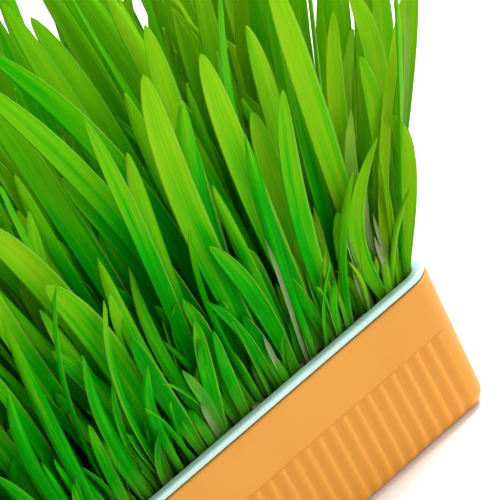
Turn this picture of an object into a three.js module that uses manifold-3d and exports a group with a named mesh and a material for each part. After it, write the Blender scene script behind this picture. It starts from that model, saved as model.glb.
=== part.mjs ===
// A tray of wheatgrass: a fluted tub, the thin liner that hangs in it by its rim, the growing
// medium, and tufts of long blades whose root crowns stand in plain holes in the medium.
// Millimetres, +Z up. The origin is the centre of the tub's underside.
import * as THREE from "three";
import { mergeVertices } from "three/addons/utils/BufferGeometryUtils.js";
import Module from "manifold-3d";

const wasm = await Module();
wasm.setup();

// ---------------------------------------------------------------- driving dimensions

// Tub
const TUB_LENGTH = 200; // along X, outside, at the rim
const TUB_DEPTH = 95; // along Y, outside, at the rim
const TUB_HEIGHT = 45;
const TUB_CORNER = 9; // outside corner radius at the rim
const TUB_WALL = 2;
const DRAFT = THREE.MathUtils.degToRad(3.3);
const FOOT_BEVEL = 3.2; // softened edge between the walls and the underside

// Flutes on the tub's four sides
const FLUTE_PITCH = 4.8;
const FLUTE_WIDTH = 4.3;
const FLUTE_DEPTH = 1;
const FLUTE_TOP = 28.5; // height of the ledge above the flutes
const FLUTES_ON_LONG_SIDE = 38;
const FLUTES_ON_SHORT_SIDE = 16;

// Liner
const LINER_WALL = 1.4;
const LINER_RIM_THICKNESS = 1.9;
const LINER_RIM_SOFTENING = 0.6; // bevel along the rim's upper edges
const FIT_GAP = 0.4; // between pieces that lie against each other

// Growing medium and the holes that the crowns stand in
const MEDIUM_BELOW_RIM = 4;
const CROWN_DEPTH = 5;
const CROWN_RISE = 1.2; // how far a crown stands above the medium
const CROWN_HALF_WIDTH = 9;

// Tufts
const TUFT_COLUMNS = 9;
const TUFT_ROWS = 4;
const SPOTS_ACROSS = 3; // blades start from a square of spots on each crown
const SPOT_SPACING = 6.2;
const SPOT_JITTER = 0.9;

// Blades
const ROOT_SUNK = 4; // how far below the medium's surface a blade starts
const BLADE_HEIGHT = 105;
const BLADE_HEIGHT_SPREAD = 33;
const BLADE_WIDTH = 6.8;
const BLADE_WIDTH_SPREAD = 0.9;
const BLADE_THICKNESS = 1.2; // at the midrib
const EDGE_BAND = 8; // blades rooted this near the medium's long edges are smaller
const EDGE_SIZE = 0.65;
const END_LEAN = 0.64; // sideways travel for each unit of height, at the tub's two ends
const END_LEAN_GROWTH = 2.2; // above 1, the lean grows late, near the ends
const SIDE_LEAN = 0.24; // sideways travel at the tub's two long sides
const LIGHT_LEAN = -0.13; // all the grass bends a little towards the light, along X
const STRAY_LEAN = 0.12;
const SAG = 14; // how far a tip bows away from a straight blade; a leaning one turns up again
const TWIST = THREE.MathUtils.degToRad(50);
const LEAN_CURVE = 1.25; // above 1, a blade leaves its root upright
const BLADE_STATIONS = [
  { at: 0, width: 0.36 },
  { at: 0.22, width: 0.7 },
  { at: 0.5, width: 0.97 },
  { at: 0.75, width: 0.97 },
  { at: 0.92, width: 0.6 },
];

// The broad blades that stand out along the front, towards +X. Lean and bow are along X: travel
// for each unit of height, and how far the tip bends away from a straight blade. Facing is the
// turn of the width from X, in degrees.
const LEADING_BLADES = [
  { x: 5.5, y: -36.2, height: 80, width: 8.6, lean: 0.02, bow: -11, facing: -25 },
  { x: 6.5, y: -31, height: 106, width: 8.6, lean: -0.03, bow: -14, facing: -20 },
  { x: 14.3, y: -40, height: 52, width: 5.4, lean: -0.16, bow: 3, facing: -10 },
  { x: 21, y: -40, height: 43, width: 4.6, lean: 0.18, bow: -1, facing: -20 },
  { x: 24.2, y: -36.5, height: 113, width: 5, lean: 0.06, bow: -5, facing: -20 },
  { x: 28, y: -38.5, height: 50, width: 4.6, lean: 0.12, bow: -6, facing: -40 },
  { x: 38, y: -30.5, height: 138, width: 7.2, lean: -0.13, bow: -13, facing: -30 },
  { x: 42.5, y: -30.5, height: 119, width: 7.6, lean: 0.16, bow: -4, facing: -15 },
  { x: 42, y: -17.5, height: 141, width: 6.8, lean: -0.05, bow: -1, facing: -25 },
  { x: 43, y: -38, height: 113, width: 8.4, lean: -0.05, bow: 8, facing: -25 },
  { x: 43, y: -15, height: 131, width: 7.6, lean: 0.06, bow: -10, facing: -25 },
  { x: 44, y: -26.5, height: 140, width: 7.4, lean: -0.04, bow: -22, facing: -40 },
  { x: 49.5, y: -40, height: 59, width: 5.4, lean: -0.01, bow: -8, facing: -20 },
  { x: 61, y: -38, height: 107, width: 7.8, lean: 0, bow: 2, facing: -20 },
  { x: 67, y: -39.5, height: 83, width: 6.2, lean: 0.06, bow: 8, facing: -20 },
  { x: 70, y: -33, height: 79, width: 7.2, lean: 0.02, bow: 2, facing: -30 },
  { x: 85, y: -40, height: 51, width: 5.4, lean: -0.27, bow: 30, facing: -25 },
  { x: 85, y: -35, height: 112, width: 7.6, lean: 0.11, bow: -4, facing: -20 },
  { x: 85.5, y: -39, height: 89, width: 3.8, lean: 0.45, bow: 7, facing: -30 },
  { x: 86.5, y: -33, height: 90, width: 7, lean: 0.68, bow: -32, facing: -20 },
  { x: 88, y: -29, height: 85, width: 6.2, lean: 0.2, bow: 7, facing: -25 },
  { x: 89.5, y: -28, height: 89, width: 7, lean: 0.7, bow: -21, facing: -30 },
  { x: 90, y: -36, height: 73, width: 6, lean: 0.46, bow: -15, facing: -20 },
  { x: 90, y: -33, height: 87, width: 6, lean: 0.73, bow: -15, facing: -60 },
  { x: 90.5, y: -24.8, height: 91, width: 6.6, lean: 0.56, bow: -12, facing: -30 },
  { x: 91.5, y: -12, height: 82, width: 4.6, lean: 0.26, bow: 5, facing: -25 },
];
const LEADING_TWIST = THREE.MathUtils.degToRad(8);

// Room between blades
const BLADE_CLEARANCE = 1.8; // between the middles of two blades' sections
const SLICE_STEP = 2;
const TRIES = 60;
const SEED = 152;

// ---------------------------------------------------------------- derived dimensions

const RIM_TOP = TUB_HEIGHT + FIT_GAP + LINER_RIM_THICKNESS;
const MEDIUM_TOP = RIM_TOP - MEDIUM_BELOW_RIM;
const ROOT_Z = MEDIUM_TOP - ROOT_SUNK;
const LINER_INSET = TUB_WALL + FIT_GAP; // from the tub's outside to the liner's outside
const CAVITY_INSET = LINER_INSET + LINER_WALL;
const MEDIUM_INSET = CAVITY_INSET + FIT_GAP;
const TUB_FLOOR = TUB_WALL;
const LINER_BOTTOM = TUB_FLOOR + FIT_GAP;
const LINER_FLOOR = LINER_BOTTOM + LINER_WALL;
const MEDIUM_BOTTOM = LINER_FLOOR + FIT_GAP;
const MEDIUM_HALF_LENGTH = TUB_LENGTH / 2 - MEDIUM_INSET;
const MEDIUM_HALF_DEPTH = TUB_DEPTH / 2 - MEDIUM_INSET;

// ---------------------------------------------------------------- colours

const COLOURS = {
  tub: { color: 0xe29a42, roughness: 0.42, metalness: 0 },
  liner: { color: 0xd8ece8, roughness: 0.3, metalness: 0 },
  medium: { color: 0x3a2c1e, roughness: 0.95, metalness: 0 },
  grass: { color: 0x4fa321, roughness: 0.5, metalness: 0 },
};

// ---------------------------------------------------------------- solids

function toSolid(geometry) {
  const bare = geometry.clone();
  bare.deleteAttribute("normal");
  bare.deleteAttribute("uv");
  const merged = mergeVertices(bare, 1e-4);
  const mesh = new wasm.Mesh({
    numProp: 3,
    vertProperties: Float32Array.from(merged.attributes.position.array),
    triVerts: Uint32Array.from(merged.index.array),
  });
  return new wasm.Manifold(mesh);
}

function toGeometry(solid) {
  const mesh = solid.getMesh();
  const geometry = new THREE.BufferGeometry();
  geometry.setAttribute("position", new THREE.BufferAttribute(mesh.vertProperties, 3));
  geometry.setIndex(new THREE.BufferAttribute(mesh.triVerts, 1));
  geometry.computeVertexNormals();
  return geometry;
}

function fuse(solids) {
  return solids.reduce((whole, solid) => whole.add(solid));
}

function piece(name, solid, look) {
  const mesh = new THREE.Mesh(toGeometry(solid), new THREE.MeshStandardMaterial(look));
  mesh.name = name;
  return mesh;
}

// A closed skin through a stack of rings with equal numbers of points, each ring running
// counter-clockwise seen from above, with a flat face across the first ring and the last.
// Rings that climb outside and come down inside make a cup.
function loft(rings) {
  const count = rings[0].length;
  const positions = rings.flat().flatMap((point) => [point.x, point.y, point.z]);
  const faces = [];
  for (let corner = 1; corner < count - 1; corner += 1) {
    faces.push(0, corner + 1, corner);
  }
  for (let level = 0; level < rings.length - 1; level += 1) {
    for (let corner = 0; corner < count; corner += 1) {
      const next = (corner + 1) % count;
      const low = level * count;
      const high = low + count;
      faces.push(low + corner, low + next, high + next);
      faces.push(low + corner, high + next, high + corner);
    }
  }
  const top = (rings.length - 1) * count;
  for (let corner = 1; corner < count - 1; corner += 1) {
    faces.push(top, top + corner, top + corner + 1);
  }
  const geometry = new THREE.BufferGeometry();
  geometry.setAttribute("position", new THREE.Float32BufferAttribute(positions, 3));
  geometry.setIndex(faces);
  return geometry;
}

// ---------------------------------------------------------------- tub, liner, medium

// The tub's outside outline at a height, moved in by an inset. The draft draws the walls in
// towards the foot.
function outline(height, inset = 0) {
  const cornerSteps = 5;
  const drawnIn = inset + Math.max(TUB_HEIGHT - height, 0) * Math.tan(DRAFT);
  const radius = TUB_CORNER - drawnIn > 1 ? TUB_CORNER - drawnIn : 1;
  const middleX = TUB_LENGTH / 2 - drawnIn - radius;
  const middleY = TUB_DEPTH / 2 - drawnIn - radius;
  const points = [];
  for (const [quarter, signX, signY] of [[0, 1, 1], [1, -1, 1], [2, -1, -1], [3, 1, -1]]) {
    for (let step = 0; step <= cornerSteps; step += 1) {
      const turn = (quarter + step / cornerSteps) * (Math.PI / 2);
      const x = signX * middleX + radius * Math.cos(turn);
      const y = signY * middleY + radius * Math.sin(turn);
      points.push(new THREE.Vector3(x, y, height));
    }
  }
  return points;
}

// One flute's cutter: a shallow trough lying along the wall, upright and facing -Y, with the
// wall's surface in the plane y = 0 and its top end at z = 0.
function fluteCutter() {
  const proud = 0.15; // starts this far outside the wall, so that the cut is clean
  const floorHalf = FLUTE_WIDTH / 5;
  const flare = (FLUTE_WIDTH / 2 - floorHalf) / FLUTE_DEPTH;
  const mouthHalf = FLUTE_WIDTH / 2 + flare * proud;
  const trough = new THREE.Shape([
    new THREE.Vector2(-mouthHalf, -proud),
    new THREE.Vector2(mouthHalf, -proud),
    new THREE.Vector2(floorHalf, FLUTE_DEPTH),
    new THREE.Vector2(-floorHalf, FLUTE_DEPTH),
  ]);
  const length = FLUTE_TOP / Math.cos(DRAFT) + 2;
  const geometry = new THREE.ExtrudeGeometry(trough, { depth: length, bevelEnabled: false });
  return geometry.translate(0, 0, -length);
}

function sideFlutes(count, halfSpan, turn) {
  const wallAtLedge = halfSpan - (TUB_HEIGHT - FLUTE_TOP) * Math.tan(DRAFT);
  return Array.from({ length: count }, (_, index) => {
    const along = (index - (count - 1) / 2) * FLUTE_PITCH;
    const cutter = fluteCutter();
    cutter.rotateX(DRAFT);
    cutter.translate(along, -wallAtLedge, FLUTE_TOP);
    cutter.rotateZ(turn);
    return toSolid(cutter);
  });
}

function makeTub() {
  const cup = toSolid(
    loft([
      outline(0, FOOT_BEVEL),
      outline(FOOT_BEVEL),
      outline(TUB_HEIGHT),
      outline(TUB_HEIGHT, TUB_WALL),
      outline(TUB_FLOOR, TUB_WALL),
    ]),
  );
  const cutters = [0, 1, 2, 3].flatMap((side) => {
    const onLongSide = side % 2 === 0;
    const count = onLongSide ? FLUTES_ON_LONG_SIDE : FLUTES_ON_SHORT_SIDE;
    const halfSpan = (onLongSide ? TUB_DEPTH : TUB_LENGTH) / 2;
    return sideFlutes(count, halfSpan, (side * Math.PI) / 2);
  });
  return cup.subtract(fuse(cutters));
}

function makeLiner() {
  const rimBottom = TUB_HEIGHT + FIT_GAP;
  return toSolid(
    loft([
      outline(LINER_BOTTOM, LINER_INSET),
      outline(rimBottom, LINER_INSET),
      outline(rimBottom, FIT_GAP),
      outline(RIM_TOP - LINER_RIM_SOFTENING, FIT_GAP),
      outline(RIM_TOP, FIT_GAP + LINER_RIM_SOFTENING),
      outline(RIM_TOP, CAVITY_INSET),
      outline(LINER_FLOOR, CAVITY_INSET),
    ]),
  );
}

// A four-sided block on the Z axis, for a crown or its hole.
function crownBlock(halfWidth, bottom, top, topHalfWidth = halfWidth) {
  const diagonal = Math.SQRT2;
  const height = top - bottom;
  const block = new THREE.CylinderGeometry(topHalfWidth * diagonal, halfWidth * diagonal, height, 4);
  block.rotateY(Math.PI / 4);
  block.rotateX(Math.PI / 2);
  block.translate(0, 0, (top + bottom) / 2);
  return block;
}

function makeMedium(crowns) {
  const block = toSolid(
    loft([outline(MEDIUM_BOTTOM, MEDIUM_INSET), outline(MEDIUM_TOP, MEDIUM_INSET)]),
  );
  const holes = crowns.map(({ x, y }) => {
    const holeBottom = MEDIUM_TOP - CROWN_DEPTH - FIT_GAP;
    const hole = crownBlock(CROWN_HALF_WIDTH + FIT_GAP, holeBottom, MEDIUM_TOP + 1);
    return toSolid(hole.translate(x, y, 0));
  });
  return block.subtract(fuse(holes));
}

// ---------------------------------------------------------------- grass

// A small seeded generator of numbers from 0 to 1, the same wherever it runs.
function randomFrom(seed) {
  let state = seed >>> 0;
  return () => {
    state = (state + 0x6d2b79f5) >>> 0;
    let mixed = Math.imul(state ^ (state >>> 15), 1 | state);
    mixed ^= mixed + Math.imul(mixed ^ (mixed >>> 7), 61 | mixed);
    return ((mixed ^ (mixed >>> 14)) >>> 0) / 4294967296;
  };
}

function crownCentres() {
  const stepX = (2 * MEDIUM_HALF_LENGTH) / TUFT_COLUMNS;
  const stepY = (2 * MEDIUM_HALF_DEPTH) / TUFT_ROWS;
  const centres = [];
  for (let row = 0; row < TUFT_ROWS; row += 1) {
    for (let column = 0; column < TUFT_COLUMNS; column += 1) {
      centres.push({
        x: (column - (TUFT_COLUMNS - 1) / 2) * stepX,
        y: (row - (TUFT_ROWS - 1) / 2) * stepY,
      });
    }
  }
  return centres;
}

// Grass stands almost upright in the middle of the tray and fans out over its edges.
function fanLean(x, y) {
  const towardsEnd = (Math.abs(x) / MEDIUM_HALF_LENGTH) ** END_LEAN_GROWTH;
  return {
    x: LIGHT_LEAN + Math.sign(x) * END_LEAN * towardsEnd,
    y: (SIDE_LEAN * y) / MEDIUM_HALF_DEPTH,
  };
}

// A blade with its root near one of a crown's spots, drawn at random.
function drawBlade(crown, spot, seed) {
  const random = randomFrom(seed);
  const swing = (amount) => (2 * random() - 1) * amount;
  const x = crown.x + ((spot % SPOTS_ACROSS) - 1) * SPOT_SPACING + swing(SPOT_JITTER);
  const y = crown.y + (Math.floor(spot / SPOTS_ACROSS) - 1) * SPOT_SPACING + swing(SPOT_JITTER);
  const size = Math.abs(y) > MEDIUM_HALF_DEPTH - EDGE_BAND ? EDGE_SIZE : 1;
  const height = size * (BLADE_HEIGHT + swing(BLADE_HEIGHT_SPREAD));
  const width = size * (BLADE_WIDTH + swing(BLADE_WIDTH_SPREAD));
  const fan = fanLean(x, y);
  const leanX = fan.x + swing(STRAY_LEAN);
  const leanY = fan.y + swing(STRAY_LEAN);
  const sagX = swing(SAG) - fan.x * SAG;
  const sagY = swing(SAG) - fan.y * SAG;
  const facing = random() * Math.PI * 2;
  const twist = swing(TWIST);
  return shapeBlade({ x, y, height, width, leanX, leanY, sagX, sagY, facing, twist });
}

function leadingBlade({ x, y, height, width, lean, bow, facing }) {
  return shapeBlade({
    x,
    y,
    height,
    width,
    leanX: lean,
    leanY: fanLean(x, y).y,
    sagX: bow,
    sagY: 0,
    facing: THREE.MathUtils.degToRad(facing),
    twist: LEADING_TWIST,
  });
}

// One blade as a stack of three-cornered sections, left edge, right edge and midrib, and a tip.
function shapeBlade({ x, y, height, width, leanX, leanY, sagX, sagY, facing, twist }) {
  const middle = (at) => ({
    x: x + leanX * height * at ** LEAN_CURVE + sagX * at ** 3,
    y: y + leanY * height * at ** LEAN_CURVE + sagY * at ** 3,
    z: ROOT_Z + height * at,
  });
  const sections = BLADE_STATIONS.map((station) => {
    const centre = middle(station.at);
    const turn = facing + twist * station.at;
    const half = (width * station.width) / 2;
    const acrossX = Math.cos(turn);
    const acrossY = Math.sin(turn);
    return {
      left: new THREE.Vector3(centre.x - half * acrossX, centre.y - half * acrossY, centre.z),
      right: new THREE.Vector3(centre.x + half * acrossX, centre.y + half * acrossY, centre.z),
      midrib: new THREE.Vector3(
        centre.x - BLADE_THICKNESS * acrossY,
        centre.y + BLADE_THICKNESS * acrossX,
        centre.z,
      ),
    };
  });
  const end = middle(1);
  const tip = new THREE.Vector3(end.x, end.y, end.z);
  return { sections, tip, slices: sliceBlade(sections, tip) };
}

// The blade's width as a line across it at each level above the medium, for the clearance test.
function sliceBlade(sections, tip) {
  const stack = [...sections, { left: tip, right: tip }];
  const slices = [];
  let level = 0;
  for (let z = MEDIUM_TOP; z < tip.z; z += SLICE_STEP) {
    while (stack[level + 1].left.z < z) {
      level += 1;
    }
    const low = stack[level];
    const high = stack[level + 1];
    const part = (z - low.left.z) / (high.left.z - low.left.z);
    const left = low.left.clone().lerp(high.left, part);
    const right = low.right.clone().lerp(high.right, part);
    slices.push({ left, right });
  }
  return slices;
}

function pointToLine(px, py, from, to) {
  const dx = to.x - from.x;
  const dy = to.y - from.y;
  const lengthSquared = dx * dx + dy * dy + 1e-12;
  const along = ((px - from.x) * dx + (py - from.y) * dy) / lengthSquared;
  const held = Math.min(Math.max(along, 0), 1);
  return Math.hypot(px - from.x - held * dx, py - from.y - held * dy);
}

function sideOf(from, to, point) {
  return (to.x - from.x) * (point.y - from.y) - (to.y - from.y) * (point.x - from.x);
}

function linesTooClose(a, b) {
  const crossing =
    sideOf(a.left, a.right, b.left) * sideOf(a.left, a.right, b.right) < 0 &&
    sideOf(b.left, b.right, a.left) * sideOf(b.left, b.right, a.right) < 0;
  if (crossing) {
    return true;
  }
  const nearest = Math.min(
    pointToLine(a.left.x, a.left.y, b.left, b.right),
    pointToLine(a.right.x, a.right.y, b.left, b.right),
    pointToLine(b.left.x, b.left.y, a.left, a.right),
    pointToLine(b.right.x, b.right.y, a.left, a.right),
  );
  return nearest < BLADE_CLEARANCE;
}

function bladesClash(a, b) {
  const levels = Math.min(a.slices.length, b.slices.length);
  for (let level = 0; level < levels; level += 1) {
    if (linesTooClose(a.slices[level], b.slices[level])) {
      return true;
    }
  }
  return false;
}

// Below the top of the rim a blade has to stay inside the liner.
function clearsRim(blade) {
  const roomX = TUB_LENGTH / 2 - CAVITY_INSET - BLADE_THICKNESS;
  const roomY = TUB_DEPTH / 2 - CAVITY_INSET - BLADE_THICKNESS;
  return blade.slices
    .filter(({ left }) => left.z < RIM_TOP + SLICE_STEP)
    .flatMap(({ left, right }) => [left, right])
    .every(({ x, y }) => Math.abs(x) < roomX && Math.abs(y) < roomY);
}

function nearestCrown(crowns, { x, y }) {
  const distances = crowns.map((crown) => Math.hypot(crown.x - x, crown.y - y));
  return distances.indexOf(Math.min(...distances));
}

// Plants the leading blades, then draws blades for every crown in turn, spot by spot, and keeps
// each one at the first try that stays clear of all the blades before it.
function growBlades(crowns) {
  const grown = [];
  const spots = SPOTS_ACROSS * SPOTS_ACROSS;
  const perCrown = crowns.map(() => []);
  for (const row of LEADING_BLADES) {
    const blade = leadingBlade(row);
    grown.push(blade);
    perCrown[nearestCrown(crowns, row)].push(blade);
  }
  for (let spot = 0; spot < spots; spot += 1) {
    crowns.forEach((crown, index) => {
      for (let attempt = 0; attempt < TRIES; attempt += 1) {
        const seed = SEED + attempt + TRIES * (index + crowns.length * spot);
        const blade = drawBlade(crown, spot, seed);
        if (clearsRim(blade) && !grown.some((other) => bladesClash(blade, other))) {
          grown.push(blade);
          perCrown[index].push(blade);
          break;
        }
      }
    });
  }
  return perCrown;
}

// The front face is split along one diagonal and the two back faces along the matching one, so
// a twisted blade's faces never cross.
function bladeGeometry({ sections, tip }) {
  const positions = [];
  for (const { left, right, midrib } of sections) {
    positions.push(...left.toArray(), ...right.toArray(), ...midrib.toArray());
  }
  positions.push(...tip.toArray());
  const faces = [0, 2, 1];
  for (let level = 0; level < sections.length - 1; level += 1) {
    const [left, right, midrib] = [0, 1, 2].map((corner) => 3 * level + corner);
    const [leftUp, rightUp, midribUp] = [left + 3, right + 3, midrib + 3];
    faces.push(left, right, rightUp, left, rightUp, leftUp);
    faces.push(right, midrib, rightUp, midrib, midribUp, rightUp);
    faces.push(midrib, left, midribUp, left, leftUp, midribUp);
  }
  const last = 3 * (sections.length - 1);
  const end = 3 * sections.length;
  faces.push(last, last + 1, end, last + 1, last + 2, end, last + 2, last, end);
  const geometry = new THREE.BufferGeometry();
  geometry.setAttribute("position", new THREE.Float32BufferAttribute(positions, 3));
  geometry.setIndex(faces);
  return geometry;
}

function makeTuft(crown, blades) {
  const mound = crownBlock(
    CROWN_HALF_WIDTH,
    MEDIUM_TOP - CROWN_DEPTH,
    MEDIUM_TOP + CROWN_RISE,
    CROWN_HALF_WIDTH - CROWN_RISE,
  );
  const root = toSolid(mound.translate(crown.x, crown.y, 0));
  return fuse([root, ...blades.map((blade) => toSolid(bladeGeometry(blade)))]);
}

// ---------------------------------------------------------------- assembly

const tray = new THREE.Group();
const crowns = crownCentres();
tray.add(piece("tub", makeTub(), COLOURS.tub));
tray.add(piece("liner", makeLiner(), COLOURS.liner));
tray.add(piece("growing_medium", makeMedium(crowns), COLOURS.medium));
growBlades(crowns).forEach((blades, index) => {
  const name = `grass_tuft_${String(index + 1).padStart(2, "0")}`;
  tray.add(piece(name, makeTuft(crowns[index], blades), COLOURS.grass));
});

export default tray;
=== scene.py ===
"""Wheatgrass tray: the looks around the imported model.

Sizes are in millimetres in the code and turned into metres where a mesh is made. Lamps, the floor
and the materials' scales are in metres, as Blender has them. The frame is the model's own: +Z up, the
origin at the centre of the tub's underside, the tub's long side along X.
"""

import math

import bpy
import numpy as np
from mathutils import Matrix, Vector

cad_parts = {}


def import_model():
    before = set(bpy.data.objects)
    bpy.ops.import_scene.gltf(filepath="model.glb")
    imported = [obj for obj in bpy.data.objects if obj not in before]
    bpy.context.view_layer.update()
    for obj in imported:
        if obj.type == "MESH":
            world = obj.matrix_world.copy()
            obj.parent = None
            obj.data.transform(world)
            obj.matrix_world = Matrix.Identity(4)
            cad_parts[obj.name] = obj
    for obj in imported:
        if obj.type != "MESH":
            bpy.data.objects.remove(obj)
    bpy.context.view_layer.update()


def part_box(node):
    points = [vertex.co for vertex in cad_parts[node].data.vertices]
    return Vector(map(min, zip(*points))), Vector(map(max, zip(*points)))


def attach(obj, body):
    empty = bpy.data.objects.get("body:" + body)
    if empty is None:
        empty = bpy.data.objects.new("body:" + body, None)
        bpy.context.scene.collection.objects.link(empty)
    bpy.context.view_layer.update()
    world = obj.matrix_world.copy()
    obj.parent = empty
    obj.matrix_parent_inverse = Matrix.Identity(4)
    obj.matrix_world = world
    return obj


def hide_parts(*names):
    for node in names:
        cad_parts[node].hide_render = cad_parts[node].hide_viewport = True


MM = 0.001

# ---------- the part's own dimensions

TUB_CORNER = 9.0
TUB_WALL = 2.0
DRAFT = math.radians(3.3)
FOOT_RADIUS = 5.0

FLUTE_PITCH = 4.8
FLUTE_DEPTH = 1.0
FLUTE_TOP = 28.5
FLUTES_ON_LONG_SIDE = 38
FLUTES_ON_SHORT_SIDE = 16

LINER_WALL = 1.4
LINER_RIM_THICKNESS = 1.9
FIT_GAP = 0.4
LINER_INSET = TUB_WALL + FIT_GAP
CAVITY_INSET = LINER_INSET + LINER_WALL
MEDIUM_BELOW_RIM = 4.0

TUFT_COLUMNS = 9
TUFT_ROWS = 4
SPOTS_ACROSS = 3
SPOT_SPACING = 6.2
SPOT_JITTER = 0.9

ROOT_SUNK = 4.0
BLADE_HEIGHT = 105.0
BLADE_HEIGHT_SPREAD = 33.0
BLADE_WIDTH = 6.8
BLADE_WIDTH_SPREAD = 0.9
BLADE_THICKNESS = 1.2
EDGE_BAND = 8.0
EDGE_SIZE = 0.65
END_LEAN = 0.64
END_LEAN_GROWTH = 2.2
SIDE_LEAN = 0.24
LIGHT_LEAN = -0.13
STRAY_LEAN = 0.12
SAG = 14.0
TWIST = math.radians(50)
LEAN_CURVE = 1.25
# The sections of the part's own blades: how far along each one is, and its share of the width.
BLADE_STATIONS = ((0.0, 0.36), (0.22, 0.7), (0.5, 0.97), (0.75, 0.97), (0.92, 0.6))

# The broad blades that stand out along the front: root x and y, height, width, lean along x, bow of
# the tip along x, turn of the width in degrees, and tone, from dark green at 0 to yellow green past 1.
LEADING_BLADES = (
    (5.5, -36.2, 80, 8.6, 0.02, -11, -25, 0.8),
    (6.5, -31, 106, 8.6, -0.03, -14, -20, 0.9),
    (14.3, -40, 52, 5.4, -0.16, 3, -10, 0.2),
    (21, -40, 43, 4.6, 0.18, -1, -20, 0.95),
    (24.2, -36.5, 113, 5, 0.06, -5, -20, 0.4),
    (28, -38.5, 50, 4.6, 0.12, -6, -40, 0.8),
    (38, -30.5, 138, 7.2, -0.13, -13, -30, 0.4),
    (42.5, -30.5, 119, 7.6, 0.16, -4, -15, 0.9),
    (42, -17.5, 141, 6.8, -0.05, -1, -25, 0.6),
    (43, -38, 113, 8.4, -0.05, 8, -25, 0.85),
    (43, -15, 131, 7.6, 0.06, -10, -25, 0.6),
    (44, -26.5, 140, 7.4, -0.04, -22, -40, 0.1),
    (49.5, -40, 59, 5.4, -0.01, -8, -20, 0.6),
    (61, -38, 107, 7.8, 0, 2, -20, 0.85),
    (67, -39.5, 83, 6.2, 0.06, 8, -20, 0.4),
    (70, -33, 79, 7.2, 0.02, 2, -30, 0.95),
    (85, -40, 51, 5.4, -0.27, 30, -25, 0.25),
    (85, -35, 112, 7.6, 0.11, -4, -20, 0.5),
    (85.5, -39, 89, 3.8, 0.45, 7, -30, 1.3),
    (86.5, -33, 90, 7, 0.68, -32, -20, 0.65),
    (88, -29, 85, 6.2, 0.2, 7, -25, 0.5),
    (89.5, -28, 89, 7, 0.7, -21, -30, 0.55),
    (90, -36, 73, 6, 0.46, -15, -20, 0.3),
    (90, -33, 87, 6, 0.73, -15, -60, 0.6),
    (90.5, -24.8, 91, 6.6, 0.56, -12, -30, 0.7),
    (91.5, -12, 82, 4.6, 0.26, 5, -25, 0.3),
)
LEADING_TWIST = math.radians(8)

# Slender stems and blades that show between the broad ones, in the same terms, and then how far
# each has dried, from 0 to 1.
SLENDER_BLADES = (
    (20.3, -40, 20, 1.8, -0.07, 0, -30, 0.6, 0.6),
    (21.5, -40, 33, 3, -0.01, -3, -30, 1, 0.1),
    (45.8, -40, 24, 1.6, -0.09, 1, -30, 0.5, 0.7),
    (53.5, -40, 49, 1.3, 0.13, -3, -30, 0.5, 0.75),
    (55.6, -39.5, 29, 1.6, 0.12, 0, -30, 0.5, 0.85),
    (78.2, -40, 24, 1.3, -0.06, 2, -30, 0.5, 0.8),
    (80.1, -39, 36, 1.6, 0.01, 1, -30, 0.5, 0.6),
    (87.5, -36, 43, 1.8, 0.04, 8, -30, 0.6, 0.6),
    (87.5, -33, 59, 4.2, 0.09, 9, -30, 0.7, 0.15),
    (88.8, -39.5, 25, 1.4, -0.05, 1, -30, 0.5, 0.85),
    (89.9, -38.6, 31, 1.2, 0.02, 1, -30, 0.5, 0.7),
    (90, -40, 54, 5.6, 0.7, -20, -40, 0.75, 0),
    (90, -37, 50, 3.6, 0.87, -22, -60, 0.9, 0),
    (91, -36, 86, 1.8, 0.66, -16, -30, 1, 0.35),
    (91.5, -38, 34, 1.5, 0.28, -2, -30, 0.5, 0.7),
    (91.5, -36.4, 40, 1.3, 0.3, -3, -30, 0.5, 0.55),
)

# Blades are drawn until one keeps clear of the others, which is tested at steps of height.
BLADE_CLEARANCE = 1.8
SLICE_STEP = 2.0
TALLEST_BLADE = 160.0
BLADES_AT_MOST = 2048
TRIES = 60
SEED = 152

# ---------- camera and stage

# Fitted to the tub's edges, flutes and corner in the 500 by 500 frame.
CAMERA_AZIMUTH = math.radians(23.1)
CAMERA_ELEVATION = math.radians(24.1)
CAMERA_ROLL = math.radians(29.95)
CAMERA_DISTANCE = 908.5
CAMERA_AIM = (52.9, -47.5, 86.9)
FOCAL_PIXELS = 3353.0
FRAME_PIXELS = 500.0
SENSOR = 36.0
CLIP_START, CLIP_END = 0.05, 50.0

TENT_STRENGTH = 0.87
LAMP_AIM = (0.03, 0.0, 0.08)
FLOOR_HALF_SIDE = 4.0


def new_object(name, data):
    """An object, linked into the scene."""
    thing = bpy.data.objects.new(name, data)
    bpy.context.scene.collection.objects.link(thing)
    return thing


def make_camera():
    """A long lens from the front left and above, turned about its own axis as in the photo."""
    sine, cosine = math.sin(CAMERA_AZIMUTH), math.cos(CAMERA_AZIMUTH)
    flat = math.cos(CAMERA_ELEVATION)
    back = Vector((-sine * flat, -cosine * flat, math.sin(CAMERA_ELEVATION)))
    level = Vector((cosine, -sine, 0.0))
    upright = back.cross(level)
    right = level * math.cos(CAMERA_ROLL) - upright * math.sin(CAMERA_ROLL)
    up = level * math.sin(CAMERA_ROLL) + upright * math.cos(CAMERA_ROLL)
    data = bpy.data.cameras.new("camera")
    data.sensor_width = SENSOR
    data.lens = SENSOR * FOCAL_PIXELS / FRAME_PIXELS
    data.clip_start = CLIP_START
    data.clip_end = CLIP_END
    camera = new_object("camera", data)
    turn = Matrix((right, up, back)).transposed().to_4x4()
    place = (Vector(CAMERA_AIM) + back * CAMERA_DISTANCE) * MM
    camera.matrix_world = Matrix.Translation(place) @ turn
    bpy.context.scene.camera = camera


def area_light(name, place, size, power, colour=(1.0, 1.0, 1.0)):
    """A round soft lamp that shines on the grass."""
    data = bpy.data.lights.new(name, "AREA")
    data.shape = "DISK"
    data.size = size
    data.energy = power
    data.color = colour
    light = new_object(name, data)
    light.location = place
    away = Vector(place) - Vector(LAMP_AIM)
    light.rotation_mode = "QUATERNION"
    light.rotation_quaternion = away.to_track_quat("Z", "Y")


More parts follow.
